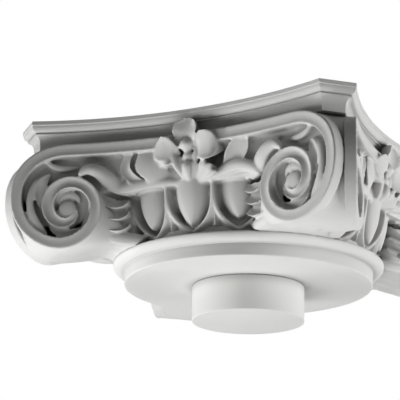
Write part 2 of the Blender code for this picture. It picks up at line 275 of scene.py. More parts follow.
# The top and the underside are closed by smaller and smaller outlines
for place in (0, -1):
    rim = rows[place]
    inner = [rim * np.array([share, share, 1.0]) for share in CAP_SHARES]
    rows = inner[::-1] + rows if place == 0 else rows + inner
corners, faces = skin(rows, capped=True)
moulded_abacus = new_piece("moulded_abacus", corners, faces)
print("abacus moulding:", len(abacus_profile), "steps,", len(moulded_abacus.data.vertices), "corners")

# %% [markdown]
# Each corner body joins the volutes of two faces. Its skin follows the spiral's outer line round from
# one face to the next: hollow like a ribbon where the two volutes stand close at the corner, and
# swelling in below until it meets the neck moulding. It is built as sections from one face to the
# other.

# %% Corner bodies
EYE_ALONG = 127.0
EYE_HEIGHT = 93.5
EYE_RADIUS = 9.4
SPIRAL_TURNS = [0.0, 42.0, 90.0, 135.0, 180.0, 270.0, 360.0, 450.0, 540.0, 600.0, 640.0]
SPIRAL_RADII = [69.5, 68.5, 57.3, 48.3, 43.5, 37.8, 34.5, 26.0, 20.0, 14.0, 9.5]
FACE_TOP = 163.0
BAND_FOOT = 149.5
QUIRK = 0.3
VOLUTE_SINK = 12.0
CORNER_HOLLOW = 8.0
CORNER_START, CORNER_END = -6.0, 300.0
CORNER_SINK = 3.0
CORNER_SECTIONS = 65
SEAT_BEARING, SEAT_SPREAD = 25.0, 40.0


def spiral(turns):
    """Radius of the spiral's outer line, from degrees turned inwards round the eye from its top."""
    return through(SPIRAL_TURNS, SPIRAL_RADII, turns)


def around_eye(turns, radii, forward):
    """Points round the right volute's eye on the front face."""
    a = np.radians(turns)
    return on_face(EYE_ALONG + radii * np.sin(a), EYE_HEIGHT + radii * np.cos(a), forward)


turns = np.linspace(CORNER_START, CORNER_END, 103)
edge = around_eye(turns, spiral(turns) - QUIRK, -CORNER_SINK)
far = np.stack([-edge[:, 1], -edge[:, 0], edge[:, 2]], axis=-1)
# Shares of the hollow beside the volutes, and of the skirt that runs down to the neck moulding
hollow = through([-6, 18, 40, 110, 150, 190, 300], [0.0, 0.4, 1.0, 1.0, 0.35, 0.0, 0.0], turns)
skirt = np.clip(through([-6, 180, 225, 270, 300], [0.0, 0.0, 0.62, 1.0, 1.0], turns), 0.0, 1.0)
diagonal = np.array([math.sqrt(0.5), -math.sqrt(0.5), 0.0])
rows = []
for share in np.linspace(0.0, 1.0, CORNER_SECTIONS):
    swell = 4.0 * share * (1.0 - share)
    row = edge + (far - edge) * share
    row = row - diagonal * (CORNER_HOLLOW * hollow * swell)[:, None]
    bearing = math.radians(SEAT_BEARING + SEAT_SPREAD * share)
    ragged = 0.9 * math.sin(31.0 * share) + 0.6 * math.sin(57.0 * share + 1.0)
    reach = ROLL_RADIUS - 1.5 + ragged
    seat_height = ROLL_WIDEST + 0.6 + 0.5 * ragged
    seat = np.array([reach * math.sin(bearing), -reach * math.cos(bearing), seat_height])
    settle = min(1.0, 3.2 * swell) ** 1.5
    row = row + (seat - row) * (skirt * settle)[:, None]
    rows.append(row)
corner_rows = np.array(rows)


def open_sheet(rows):
    """A skin over rows that aren't closed on themselves."""
    count, across = rows.shape[:2]
    index = np.arange(count * across).reshape(count, across)
    quads = np.stack([index[:-1, :-1], index[:-1, 1:], index[1:, 1:], index[1:, :-1]], axis=-1)
    return rows.reshape(-1, 3), quads.reshape(-1, 4).tolist()


corner_bodies = []
for quarter in range(4):
    corners, faces = open_sheet(quarter_turned(corner_rows, quarter))
    corner_bodies.append(new_piece(f"corner_body_{quarter + 1}", corners, faces))
print("corner bodies:", len(corner_bodies), "of", len(corner_rows) * len(turns), "corners")

# %% [markdown]
# The carving was modelled in clay: strips, pads and leaves pressed on the ground and worked together
# with a spatula, then moulded and cast. The same order works here. Every form is made as a closed pad
# of its own, and when a face is complete all of its pads are fused into one skin whose joints are
# slightly soft, as in the cast.

# %% Leaf pads
LEAF_STEP = 1.3
LEAF_LEAST = 14
LEAF_FRONT, LEAF_BACK = 13, 5
BEAD_PLACE, BEAD_WIDTH = 0.86, 0.12
face_pads = []


def mirrored(rows):
    """The same leaf for the other hand."""
    return [(-row[0], *row[1:5], -row[5]) for row in rows]


def leaf(rows, thick=9.0, tip=0.2, root=0.0, undercut=0.7, rim=0.0):
    """A leaf or petal. Each row gives along, height, forward, half width, crown and lean.

    tip and root are the shares of its length that round off at the ends, undercut is the width of its back,
    and rim is a fine bead along both edges.
    """
    rows = np.asarray(rows, float)
    knots = np.concatenate([[0.0], np.cumsum(np.linalg.norm(np.diff(rows[:, :3], axis=0), axis=1))])
    count = max(LEAF_LEAST, int(knots[-1] / LEAF_STEP))
    where = knots[-1] * (0.5 - 0.5 * np.cos(np.linspace(0.0, math.pi, count)))
    line = through(knots, rows, where)
    run = np.gradient(line[:, :2], where, axis=0)
    run /= np.linalg.norm(run, axis=1)[:, None]
    share = where / knots[-1]
    half = np.maximum(line[:, 3], 0.3)
    if tip:
        half = half * np.sqrt(np.clip(1.0 - np.clip((share - 1.0 + tip) / tip, 0, 1) ** 2, 0.004, 1))
    if root:
        half = half * np.sqrt(np.clip(1.0 - np.clip((root - share) / root, 0, 1) ** 2, 0.004, 1))
    front = np.linspace(1.0, -1.0, LEAF_FRONT)
    back = np.linspace(-undercut, undercut, LEAF_BACK)
    u = np.concatenate([front, back])
    a = line[:, :1] - run[:, 1:] * half[:, None] * u
    h = line[:, 1:2] + run[:, :1] * half[:, None] * u
    bulge = line[:, 4:5] * (1.0 - front**2) + line[:, 5:6] * front
    bulge = bulge + rim * np.exp(-(((np.abs(front) - BEAD_PLACE) / BEAD_WIDTH) ** 2))
    f = np.concatenate([line[:, 2:3] + bulge, np.repeat(line[:, 2:3] - thick, len(back), axis=1)], axis=1)
    face_pads.append(skin(on_face(a, h, f)))


def both_hands(rows, **how):
    """A leaf on the right of the face and its twin on the left."""
    leaf(rows, **how)
    leaf(mirrored(rows), **how)


# %% [markdown]
# The ground comes first: the sunk frieze under the band, the floor inside each volute, and the piece of
# the bell that carries the eggs. The band then lies on it. It runs along the top of the face, over each
# volute, and winds in nearly two turns towards the eye; its face is slightly hollow and its inner edge
# carries a fine bead.

# %% Ground, band and spirals
GROUND = -13.0
GROUND_DEEP = 22.0
# Behind the right petal the ground is cut deeper, so that it stays in shade
POCKET = (19.0, 47.0)
POCKET_TOP = 148.5
POCKET_FLOOR = -30.0
POCKET_WALL = 4.0


def plate(along_low, along_high, low, high, forward, deep):
    """A slab of ground that follows the face."""
    along = np.linspace(along_low, along_high, 60)
    rows = [
        np.concatenate(
            [on_face(along, height, forward), on_face(along[::-1], height, forward - deep)]
        )
        for height in np.linspace(low, high, 12)
    ]
    face_pads.append(skin(rows))


ground_top = FACE_TOP - 1.0
plate(-100.0, POCKET[0], 113.0, ground_top, GROUND, GROUND_DEEP)
plate(POCKET[1], 100.0, 113.0, ground_top, GROUND, GROUND_DEEP)
plate(-126.0, -96.0, 131.0, ground_top, GROUND, 6.0)
plate(96.0, 126.0, 131.0, ground_top, GROUND, 6.0)
plate(POCKET[0] - POCKET_WALL, POCKET[1] + POCKET_WALL, 113.0, ground_top, POCKET_FLOOR, 6.0)
plate(POCKET[0] - POCKET_WALL, POCKET[1] + POCKET_WALL, POCKET_TOP, ground_top, GROUND, GROUND_DEEP)

turns = np.linspace(0.0, 360.0, 120, endpoint=False)
wider = through([0, 285, 300, 340, 360], [1, 1, 1.2, 1.5, 1.3], turns)
floor_radii = np.minimum(wider * spiral(turns), 72.0)
floor_radii = floor_radii - 3.0
shares = np.array([0.02, 0.25, 0.5, 0.75, 1.0, 1.0, 0.75, 0.5, 0.25, 0.02])
for hand in (1.0, -1.0):
    rows = []
    for k, share in enumerate(shares):
        row = around_eye(turns, floor_radii * share, -VOLUTE_SINK - (0.0 if k < 5 else 5.0))
        row[:, 0] *= hand
        rows.append(row)
    face_pads.append(skin(rows))

turns = np.linspace(632.0, 0.0, 215)
radii = spiral(turns)
width_turns = [0, 90, 180, 270, 360, 450, 540, 600, 640]
widths = through(width_turns, [13.5, 12.4, 13.0, 12.2, 13.6, 14.0, 10.5, 6.0, 3.0], turns)
sinks = -through([0, 240, 360, 450, 560, 640], [0.0, 0.0, 0.6, 1.4, 3.0, 5.0], turns)
hollows = through([0, 270, 360, 450, 560, 640], [0.9, 1.2, 3.0, 4.0, 3.0, 1.0], turns)
straight = np.linspace(1.0, 0.0, 40, endpoint=False)[1:]
along_out = np.concatenate([EYE_ALONG + radii * np.sin(np.radians(turns)), EYE_ALONG * straight])
high_out = np.concatenate([EYE_HEIGHT + radii * np.cos(np.radians(turns)), np.full(len(straight), FACE_TOP)])
inner = radii - widths
along_in = np.concatenate([EYE_ALONG + inner * np.sin(np.radians(turns)), EYE_ALONG * straight])
high_in = np.concatenate([EYE_HEIGHT + inner * np.cos(np.radians(turns)), np.full(len(straight), BAND_FOOT)])
sinks = np.concatenate([sinks, np.zeros(len(straight))])
hollows = np.concatenate([hollows, np.full(len(straight), 0.9)])
# One cross-section of the band: places across it, and how far each stands in front
across = np.array([0.0, 0.0, 0.03, 0.1, 0.25, 0.4, 0.55, 0.7, 0.82, 0.88, 0.93, 0.98, 1.0, 1.0])
relief = np.array([-13.0, -1.0, -0.3, 0.0, -0.55, -0.95, -1.0, -0.9, -0.6, 0.1, 0.45, 0.2, -0.6, -13.0])
dished = (relief > -1.01) & (relief < -0.5) & (across > 0.15) & (across < 0.85)
strip = []
for k in range(len(sinks)):
    a = along_out[k] + (along_in[k] - along_out[k]) * across
    h = high_out[k] + (high_in[k] - high_out[k]) * across
    f = sinks[k] + np.where(dished, relief * hollows[k], relief)
    strip.append(on_face(a, h, f))
strip = np.array(strip)
left = strip[::-1] * np.array([-1.0, 1.0, 1.0])
middle_height = FACE_TOP + (BAND_FOOT - FACE_TOP) * across
middle = on_face(0.0 * across, middle_height, np.where(dished, relief * 0.9, relief))
face_pads.append(skin(np.concatenate([strip, middle[None], left])))
print("band:", len(strip) * 2 + 1, "sections; pads so far", len(face_pads))

# %% [markdown]
# The eye is a plain button in a small well. Round it, in the space between the turns, lie long thin
# leaves with hollow lobes, the same on both hands.

# %% Inside the volutes
eye_profile = [(1.0, -VOLUTE_SINK - 3.0), (1.0, -7.0), (0.97, -5.6), (0.88, -4.6)]
eye_profile += [(0.7, -3.9), (0.4, -3.5), (0.1, -3.4)]
for hand in (1.0, -1.0):
    rows = []
    for share, forward in eye_profile:
        a = np.linspace(0.0, 360.0, 40, endpoint=False)
        row = around_eye(a, np.full(40, EYE_RADIUS * share), forward)
        row[:, 0] *= hand
        rows.append(row)
    face_pads.append(skin(rows))

long_leaf = [
    (149, 134, -9, 1.2, 0.5, 0),
    (160.5, 123, -4.5, 2.6, 1.0, 0),
    (165, 110, -2.5, 3.4, 1.4, 0),
    (165, 96, -2, 4.0, 1.6, 0),
    (160, 82, -2.5, 4.6, 1.4, 0),
    (153, 72, -4.5, 4.0, 1.0, 0),
    (146, 65, -8, 1.5, 0.4, 0),
]
hollow_lobe = [
    (146, 133, -8, 2.0, -1.0, 0),
    (152, 124, -3.5, 5.0, -3.2, 0),
    (155, 113, -3, 5.6, -4.0, 0),
    (154.5, 102, -3.5, 4.4, -3.2, 0),
    (152, 94, -8, 2.0, -1.0, 0),
]
foot_lobe = [
    (146, 80, -8, 1.6, -0.8, 0),
    (139, 71.5, -5.5, 4.0, -1.8, 0),
    (128, 67.5, -5, 5.2, -2.4, 0),
    (117, 69, -5.5, 4.6, -2.0, 0),
    (110, 75, -8, 1.6, -0.8, 0),
]
crescent = [
    (108, 121, -8, 1.4, -0.8, 0),
    (103, 109, -5.5, 4.0, -2.0, 0),
    (100.5, 98, -5, 4.6, -3.0, 0),
    (102, 86, -5, 4.6, -3.0, 0),
    (107.5, 76, -6, 4.0, -2.0, 0),
    (112, 68, -8, 1.5, -0.8, 0),
]
eye_cap = [
    (137, 98, -9, 1.5, 0.6, 0),
    (134, 105, -7.5, 3.6, 1.4, 0),
    (127, 109, -7, 4.4, 1.6, 0),
    (119, 107, -7.5, 3.8, 1.4, 0),
    (114, 100, -9, 1.5, 0.6, 0),
]
both_hands(long_leaf, thick=11, tip=0.1, root=0.1)
both_hands(hollow_lobe, thick=11, tip=0.2, root=0.2, rim=1.0)
both_hands(foot_lobe, thick=9, tip=0.15, root=0.15, rim=0.5)
both_hands(crescent, thick=9, tip=0.15, root=0.15, rim=0.8)
both_hands(eye_cap, thick=8, tip=0.15, root=0.15)
print("eyes and volute leaves; pads so far", len(face_pads))

# %% [markdown]
# Three eggs stand on each face of the bell; the place for a fourth is lost in the corner behind the
# volutes. Each is an oval drawn to a point, lying in a hollow shell whose ridge is shared with its
# neighbour above and runs to a tip below. Small darts fill the gaps between the tips.

# %% Eggs, shells and darts
EGG_PITCH = 20.5
EGG_TOP = 118.0
EGG_TIP = 70.0
SHELL_TIP = 65.5
SHELL_FACE = 148.5
SHELL_TIP_FACE = 134.5
EGG_SEAT = 122.0
EGG_HALF = 20.8
EGG_PROUD = 1.6
SHELL_HALF = 26.2
DART_FOOT, DART_LENGTH = 69.5, 14.0
# Half widths in shares, at shares of the height above the tip
EGG_WHERE = [0.0, 0.076, 0.25, 0.467, 0.64, 0.86, 1.0]
EGG_SIZE = [0.02, 0.3, 0.62, 0.86, 0.95, 1.0, 1.0]
SHELL_WHERE = [0.0, 0.08, 0.2, 0.36, 0.55, 0.78, 1.0]
SHELL_SIZE = [0.0, 0.30, 0.60, 0.83, 0.95, 1.0, 1.0]


def echinus(height):
    """How far the shells stand out at a height: the row leans in below."""
    share = np.clip((height - SHELL_TIP) / (EGG_TOP - SHELL_TIP), 0.0, 1.0)
    return SHELL_FACE - (SHELL_FACE - SHELL_TIP_FACE) * (1.0 - share) ** 2


def egg(bearing, tip):
    """One egg with its point at the given height."""
    rows = []
    for share in np.linspace(0.0, 1.0, 44) ** 1.25:
        size = float(through(EGG_WHERE, EGG_SIZE, [share])[0])
        height = tip + (EGG_TOP - tip) * share
        a = np.linspace(0.0, math.pi, 34)
        across = np.sign(np.cos(a)) * np.abs(np.cos(a)) ** 0.8
        reach = EGG_SEAT + (echinus(height) + EGG_PROUD - EGG_SEAT) * np.sin(a) ** 0.8
        rows.append(on_bell(bearing, EGG_HALF * size * across, reach, height))
    face_pads.append(skin(rows))


def shell(bearing):
    """The shell round an egg: a ridge from the top of one side down to the tip and up the other."""
    share = np.concatenate([np.linspace(1.0, 0.0, 40) ** 1.3, np.linspace(0.0, 1.0, 40)[1:] ** 1.3])
    hand = np.concatenate([np.ones(40), -np.ones(39)])
    wide = SHELL_HALF * through(SHELL_WHERE, SHELL_SIZE, share) * hand
    high = SHELL_TIP + (EGG_TOP - SHELL_TIP) * share
    run = np.stack([np.gradient(wide), np.gradient(high)], axis=-1)
    run /= np.linalg.norm(run, axis=1)[:, None]
    out = np.stack([run[:, 1], -run[:, 0]], axis=-1)
    out *= -np.where(out[:, :1] * wide[:, None] + out[:, 1:] * (high[:, None] - 100.0) < 0, 1.0, -1.0)
    face = echinus(high)
    flank = 2.4 + 4.6 * np.clip(1.6 - 2.0 * share, 0.0, 1.0)
    rows = []
    for k in range(len(share)):
        offsets = np.array([flank[k], 1.7, 1.2, 0.0, -1.2, -1.7, -4.2, -4.6])
        low_crest, high_crest = face[k] - 1.2, face[k] - 0.2
        reach = np.array([127.0, low_crest, high_crest, face[k], high_crest, low_crest, 128.0, 124.0])
        side = wide[k] + out[k, 0] * offsets
        height = high[k] + out[k, 1] * offsets
        rows.append(on_bell(bearing, side, reach, height))
    face_pads.append(skin(rows))


def dart(bearing):
    """The small dart between two shells."""
    rows = []
    for share in np.linspace(0.0, 1.0, 8):
        half = 6.4 * (1.0 - share) + 0.4
        side = np.array([half, 0.0, -half, 0.0])
        reach = np.array([126.0, 138.0 + 4.0 * share, 126.0, 122.0])
        rows.append(on_bell(bearing, side, reach, DART_FOOT + DART_LENGTH * share))
    face_pads.append(skin(rows))


# The bell behind the eggs, the soffit over them, and the cheeks between the outer eggs and the volutes
BELL_REACH = 41.0
BELL_STEPS = 60
SOFFIT_REACH = 126.0
a = np.radians(np.linspace(-BELL_REACH, BELL_REACH, BELL_STEPS))
bell_rows = []
for height in np.linspace(62.0, 122.0, 14):
    outer = on_bell(0.0, BELL_RADIUS * np.sin(a), BELL_RADIUS * np.cos(a), height)
    inner_side = outer[::-1] * np.array([0.95, 0.95, 1.0])
    bell_rows.append(np.concatenate([outer, inner_side]))
face_pads.append(skin(bell_rows))
soffit_rows = []
cheek_plan = [(94, -11), (86, -19), (77, -28), (69, -38), (60, -50)]
for height in (112.5, 119.0):
    inner_side = on_bell(0.0, SOFFIT_REACH * np.sin(a), SOFFIT_REACH * np.cos(a), height)
    outer_side = on_face(np.linspace(-104.0, 104.0, BELL_STEPS), height, GROUND - 0.5)
    soffit_rows.append(np.concatenate([outer_side, inner_side[::-1]]))
face_pads.append(skin(soffit_rows))
for hand in (1.0, -1.0):
    rows = []
    for height in np.linspace(62.0, 118.0, 10):
        front = [on_face(hand * along, height, forward) for along, forward in cheek_plan]
        back = [on_face(hand * along, height, forward - 7.0) for along, forward in cheek_plan[::-1]]
        rows.append(np.array(front + back))
    face_pads.append(skin(rows))
for k, tip in ((-1, EGG_TIP + 3.0), (0, EGG_TIP), (1, EGG_TIP + 6.0)):
    egg(EGG_PITCH * k, tip)
    shell(EGG_PITCH * k)
for k in (-1.5, -0.5, 0.5, 1.5):
    dart(EGG_PITCH * k)
print("eggs, shells and darts; pads so far", len(face_pads))

# %% [markdown]
# Leaves hide the tops of the eggs and the roots of the volutes. A flat leaf lies over the eggs on each
# side, a rounded husk rises from its end over the volute, and three small lobes hang between volute and
# egg, above a smooth pad that rests on the neck moulding.

# %% Husks and lobes
frond = [
    (60, 112, -20, 3.0, 1.0, 0),
    (72, 116, -15, 4.6, -1.0, 0),
    (84, 127, -11, 5.2, -1.8, 0),
    (94, 139, -9, 4.6, -1.6, 0),
    (106, 144, -9, 3.0, -0.6, 0),
]
husk = [
    (66, 112.5, -19, 5.0, 2.0, 0),
    (76, 117, -14, 8.0, 3.0, 0),
    (86, 125, -7, 8.6, 3.5, 0),
    (96, 132.5, -3.5, 7.4, 3.5, 0),
    (106, 134.5, -2, 6.0, 3.0, 0),
    (115, 129, -1.5, 5.0, 2.5, 0),
]
both_hands(husk, thick=13, tip=0.22, undercut=0.6)
both_hands(frond, thick=11, tip=0.2, undercut=0.6, rim=0.5)
# The lobes on the right reach further over their egg than those on the left
for hand, reach in ((1, -5.0), (-1, 4.5)):
    for drop, sink in ((0.0, 0.0), (11.5, 2.5), (23.0, 6.0)):
        lobe = [
            (94, 110 - drop, -11 - sink, 2.2, -1.0, 2.0),
            (88, 102.5 - drop, -10 - sink, 5.2, -4.0, 3.6),
            (79, 99 - drop, -12 - sink, 6.2, -5.2, 4.4),
            (70 + reach, 100.5 - drop, -17 - sink, 5.8, -4.4, 4.2),
            (64 + reach, 106 - drop, -24 - sink, 3.0, -1.6, 2.0),
        ]
        leaf(lobe if hand > 0 else mirrored(lobe), thick=17, tip=0.15, root=0.15, rim=0.7)
pad = [
    (97, 71, -14, 4.0, 2.0, 0),
    (86, 67, -20, 6.0, 3.5, 0),
    (74, 66, -27, 6.5, 3.5, 0),
    (62, 67, -35, 5.5, 2.5, 0),
    (54, 69, -41, 2.5, 1.0, 0),
]
both_hands(pad, thick=14, tip=0.2, root=0.1)
small_leaf = [
    (153, 148, -4.5, 1.0, 0.4, 0),
    (146, 142, -4.5, 2.6, 1.0, 0),
    (138, 138.5, -6, 3.6, 1.4, 0),
    (127, 138, -8, 3.2, 1.2, 0),
    (116, 140, -11, 1.6, 0.6, 0),
]
both_hands(small_leaf, thick=8, tip=0.1, root=0.1)
print("husks and lobes; pads so far", len(face_pads))

# %% [markdown]
# The flower is modelled by hand and differs from side to side. Three curled petals and a small ragged
# one stand round a throat with a two-part pistil. Narrow sepals rise to it from one foot on the egg
# line. A small ruffled shell spreads from the same foot on its right.

# %% Flower
top_petal = [
    (0, 150, -7, 10.0, -2.0, 1),
    (1, 155, 2, 13.0, -5.0, 0),
    (3, 161, 8.0, 14.5, -6.5, 0),
    (6, 170.5, 8.0, 13.5, -6.0, 0),
    (8, 178.0, 4.5, 9.0, -2.5, 0),
]
left_petal = [
    (-8, 139, -5, 5.0, -0.5, 0),
    (-13, 143, 2.5, 10.0, -1.0, -2),
    (-20, 146.5, 4.5, 13.0, -2.0, -3),
    (-28, 148, 2.5, 12.0, -1.5, -3),
    (-34, 149.5, -2, 7.0, 0.5, -1),
]
right_petal = [
    (13, 145, -4, 7.0, -1.0, 2),
    (18, 145, 4.0, 12.5, -4.0, 3),
    (25, 145.5, 7, 15.5, -5.0, 3),
    (33, 145.5, 6, 14.5, -3.0, 2),
    (40, 145, 0.0, 9.5, 0.5, 1),
]
ragged_petal = [
    (-11, 139, -3, 4.0, -0.5, 0),
    (-18, 138, 1.5, 8.0, -1.0, 0),
    (-25, 136, -1.0, 6.5, 0.0, 0),
    (-29, 133.5, -5, 3.5, 0.5, 0),
]
for petal in (top_petal, left_petal, right_petal, ragged_petal):
    leaf(petal, thick=14, tip=0.3, undercut=0.6, rim=0.5)
lower_bud = [(3, 131, -8, 4.0, 2, 0), (3.5, 138, -3, 6.4, 3, 0), (3.5, 145, -4, 4.8, 2.5, 0)]
upper_bud = [(3.5, 143, -3, 5.2, 2.5, 0), (3.2, 150, 2.0, 7.4, 3.5, 0), (3, 157.5, 0, 5.4, 2.5, 0)]
leaf(lower_bud, thick=9, tip=0.3, root=0.3)
leaf(upper_bud, thick=12, tip=0.35, root=0.3)
sepals = [
    [
        (-1, 115, -13, 2.2, 1, 0),
        (-5, 122, -7, 3.0, 1.6, 0),
        (-10, 131, -2, 3.4, 1.8, 0),
        (-12, 140, -1, 3.4, 1.6, 0),
        (-12, 148, -2, 2, 1, 0),
    ],
    [
        (0, 115, -12, 1.8, 1, 0),
        (-2.5, 123, -8, 2.6, 1.5, 0),
        (-5, 132, -5, 3.2, 1.8, 0),
        (-6, 140, -4, 2.4, 1, 0),
    ],
    [
        (1, 115, -11, 2.4, 1, 0),
        (2, 121, -4, 4.4, 2.8, 0),
        (3, 128, -1.0, 5.4, 3.2, 0),
        (3, 134, -2.5, 4.2, 2.0, 0),
    ],
    [
        (4, 115, -13, 1.8, 1, 0),
        (9, 124, -7, 2.4, 1.5, 0),
        (12, 135, -3, 2.8, 1.8, 0),
        (13, 145, -3, 2.8, 1.4, 0),
        (11, 152, -5, 2, 1, 0),
    ],
]
for sepal in sepals:
    leaf(sepal, thick=9, tip=0.12, undercut=0.5)
ruffles = [
    [
        (8, 116, -14, 1.8, 1, 0),
        (14, 122, -8, 3.4, 1.5, 0),
        (20, 128.5, -3, 4.4, 1.8, 0),
        (24, 131.5, -1.5, 3.2, 1, 0),
    ],
    [
        (9, 115.5, -14, 1.8, 1, 0),
        (18, 119.5, -8, 3.4, 1.5, 0),
        (27, 124.5, -3, 4.6, 1.8, 0),
        (32, 126, -1.5, 3.4, 1, 0),
    ],
    [
        (11, 115, -14, 1.6, 1, 0),
        (21, 116.5, -9, 2.8, 1.3, 0),
        (30, 118.5, -5, 3.6, 1.5, 0),
        (36, 119, -3.5, 2.6, 1, 0),
    ],
]
for ruffle in ruffles:
    leaf(ruffle, thick=10, tip=0.25, undercut=0.5, rim=0.4)
print("flower; pads so far", len(face_pads))

# %% [markdown]
# On the left of the flower lies a smooth round leaf in front of a hollow one, and on its right a broad
# hollow leaf. Two flat leaves run out from the flower's foot over the tops of the eggs.

# %% Leaves beside the flower
disc_leaf = [
    (-24, 119, -14, 6.0, 1.0, 0),
    (-31, 126, -8, 12.5, 2.0, 0),
    (-39, 134.5, -5, 15.5, 2.5, 0),
    (-47, 142.5, -4.5, 13.5, 2.0, 0),
    (-52, 148, -5.5, 8.0, 1.0, 0),
]
outer_hollow = [
    (-57, 152, -6, 2.0, -0.8, 0.5),
    (-64.5, 144, -4.5, 5.2, -3.0, 1.0),
    (-66.5, 134, -4.5, 6.0, -3.8, 1.0),
    (-61, 124.5, -6.5, 5.6, -3.2, 1.0),
    (-50, 118.5, -10, 4.0, -1.8, 0.5),
    (-38, 116.5, -13, 2.0, -0.8, 0),
]
right_hollow = [
    (40, 120, -14, 5.0, -1.0, 1),
    (49, 127, -8, 9.5, -3.4, 2),
    (58, 136, -4.5, 11.5, -4.6, 2.5),
    (65, 144, -3, 10.5, -3.6, 2),
    (70, 150.5, -5, 7.0, -1.0, 1),
]
leaf(disc_leaf, thick=9, tip=0.3, undercut=0.5)
leaf(outer_hollow, thick=9, tip=0.1, root=0.15, undercut=0.7, rim=0.8)
leaf(right_hollow, thick=12, tip=0.25, undercut=0.5, rim=1.6)
left_flat = [
    (-3, 115, -15, 2.2, 1.2, 0),
    (-22, 117, -12.5, 4.2, 2.2, 0),
    (-45, 117.5, -11.5, 5.8, 2.8, 0),
    (-66, 116, -12.5, 6.6, 3.0, 0),
    (-82, 114, -15, 5.0, 2.0, 0),
]
right_flat = [
    (5, 115, -15, 2.2, 1.2, 0),
    (22, 116.5, -12.5, 4.0, 2.2, 0),
    (42, 121, -9.5, 5.6, 2.8, 0),
    (60, 123.5, -7.5, 6.2, 3.0, 0),
    (74, 119, -8.5, 5.4, 2.4, 0),
    (82, 110, -12, 3.0, 1.2, 0),
]
for flat_leaf, tip in ((left_flat, 0.12), (right_flat, 0.15)):
    leaf(flat_leaf, thick=16, tip=tip, undercut=0.6, rim=0.4)
print("pads on a face:", len(face_pads))

# %% [markdown]
# Now the pads become one skin. They are laid in a fine grid of cells and the skin is drawn where the
# cells leave the clay, so overlapping pads fuse. What lies buried in the ground is cut away, and the
# skin is rubbed twice, which leaves edges as soft as a cast's. The other three faces are the same face,
# a quarter turn on.

# %% Fusing a face
CELL = 1.25
RUBBINGS, RUB_SHARE = 2, 0.5
HIDDEN_DEPTH = -15.2
EGG_LINE = 113.5
EGG_SPAN = 96.0
BELL_SKIN = BELL_RADIUS - 1.2
corners, faces = gather(face_pads)
clay = new_piece("clay", corners, faces)
fuse = clay.modifiers.new("fuse", "REMESH")
fuse.mode = "VOXEL"
fuse.voxel_size = CELL * MM
graph = bpy.context.evaluated_depsgraph_get()
fused = bpy.data.meshes.new_from_object(clay.evaluated_get(graph))
bpy.data.objects.remove(clay, do_unlink=True)
places = np.empty(len(fused.vertices) * 3)
fused.vertices.foreach_get("co", places)
places = places.reshape(-1, 3) / MM
print("fused face:", len(places), "corners")


def forward_of(points):
    """How far points stand in front of the face, the reverse of on_face."""
    return FACE_ARC - np.hypot(points[:, 0], points[:, 1] - FACE_AXIS)


def buried(points):
    """True where a point lies behind the ground that shows."""
    deep = forward_of(points)
    along, height = points[:, 0], points[:, 2]
    inside_bell = np.hypot(along, points[:, 1]) < BELL_SKIN
    by_eggs = (height < EGG_LINE) & (np.abs(along) < EGG_SPAN)
    pocket = (along > POCKET[0] - 0.8) & (along < POCKET[1] + 0.8) & (height < POCKET_TOP + 1.0)
    back = np.where(pocket, POCKET_FLOOR - 2.2, HIDDEN_DEPTH)
    return inside_bell | (~by_eggs & (deep < back))


bm = bmesh.new()
bm.from_mesh(fused)
bm.verts.ensure_lookup_table()
gone = buried(places)
bmesh.ops.delete(bm, geom=[bm.verts[i] for i in np.flatnonzero(gone)], context="VERTS")
all_axes = {"use_axis_x": True, "use_axis_y": True, "use_axis_z": True}
for _ in range(RUBBINGS):
    bmesh.ops.smooth_vert(bm, verts=bm.verts[:], factor=RUB_SHARE, **all_axes)
bm.to_mesh(fused)
bm.free()
places = np.empty(len(fused.vertices) * 3)
fused.vertices.foreach_get("co", places)
places = places.reshape(-1, 3)
polygons = [tuple(face.vertices) for face in fused.polygons]
carved_faces = []
for quarter in range(4):
    corners = quarter_turned(places, quarter) / MM
    carved_faces.append(new_piece(f"carved_face_{quarter + 1}", corners, polygons))
bpy.data.meshes.remove(fused)
print("carved faces:", len(carved_faces), "of", len(polygons), "faces each")

# %% [markdown]
# The cast is white plaster: calcined gypsum mixed with water, poured in a mould and left to dry. Dry
# plaster is matte and reflects about four fifths of the light. Its surface has fine pores and faint drag
# lines along the run mouldings. Its hollows and creases are greyed with painted shade.

# %% Plaster
# How far the painted shade in hollows and creases reaches, in metres
PAINTED_SHADE_REACH = 0.016
GYPSUM_IOR = 1.52


def linear(hex_colour):
    """Linear light values from an sRGB hex colour."""
    values = [int(hex_colour[i : i + 2], 16) / 255.0 for i in (1, 3, 5)]
    return tuple(v / 12.92 if v <= 0.04045 else ((v + 0.055) / 1.055) ** 2.4 for v in values) + (1.0,)


def add_node(tree, kind, settings=None, links=None):
    """A shader node with its settings, and links into its sockets by name or number."""
    node = tree.nodes.new(kind)
    for key, value in (settings or {}).items():
        if isinstance(key, str) and hasattr(node, key):
            setattr(node, key, value)
        else:
            node.inputs[key].default_value = value
    for key, source in (links or {}).items():
        tree.links.new(source, node.inputs[key])
    return node


